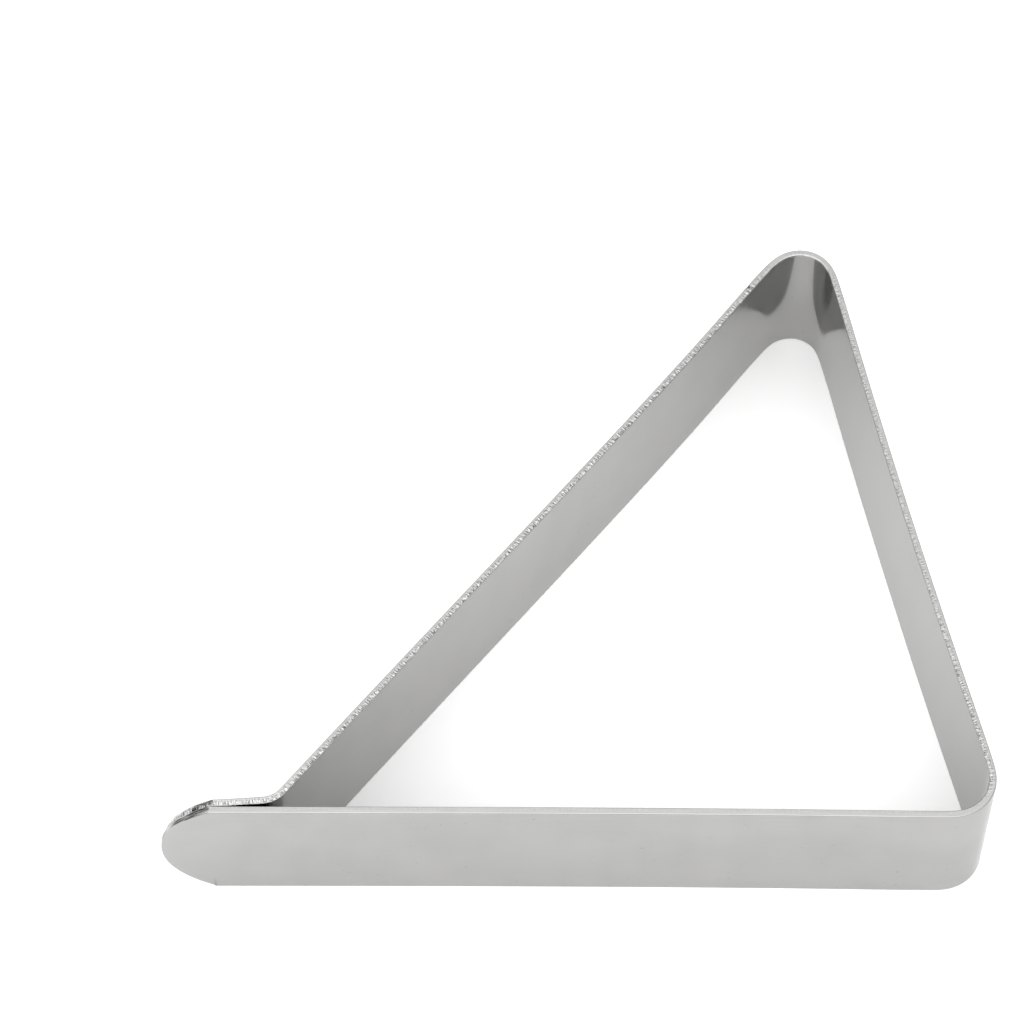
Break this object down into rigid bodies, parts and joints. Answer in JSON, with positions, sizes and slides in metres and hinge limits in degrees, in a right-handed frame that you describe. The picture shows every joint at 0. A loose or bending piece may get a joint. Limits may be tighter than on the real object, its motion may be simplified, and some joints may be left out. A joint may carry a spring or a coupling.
{
  "type": "tablecloth clip",
  "caption": "Triangular sprung steel strip clip with overlapping rounded jaw tabs; grips a tablecloth to a table edge.",
  "frame": {"origin": "centre of the clip's bounding box, on the strip edge that it lies on", "axes": "+X along the flat leg from the jaw to the heel, +Y from the flat leg towards the top bend, +Z across the strip's width"},
  "size_m": [0.0502, 0.0406, 0.01],
  "materials": {
    "spring_steel": "satin"
  },
  "bodies": {
    "flat_arm": {"flat_jaw_tab": "spring_steel", "flat_leg": "spring_steel", "heel_bend": "spring_steel"},
    "back": {"back_leg": "spring_steel"},
    "spring_arm": {"top_bend": "spring_steel", "spring_leg": "spring_steel", "crank_bend": "spring_steel", "spring_jaw_tab": "spring_steel"}
  },
  "joints": [
    {"name": "heel_flex", "type": "hinge", "parent": "flat_arm", "child": "back", "pos_m": [0.0241, -0.01405, 0.005], "axis": [0, 0, -1], "range_deg": [0, 20], "stiffness_Nm_per_rad": 0.38, "springref_deg": -3.44},
    {"name": "top_flex", "type": "hinge", "parent": "back", "child": "spring_arm", "pos_m": [0.0172, 0.0154, 0.005], "axis": [0, 0, -1], "range_deg": [0, 20], "stiffness_Nm_per_rad": 0.38, "springref_deg": -3.44}
  ],
  "couplings": [
    {"joint": "top_flex", "follows": "heel_flex", "ratio": 1}
  ]
}
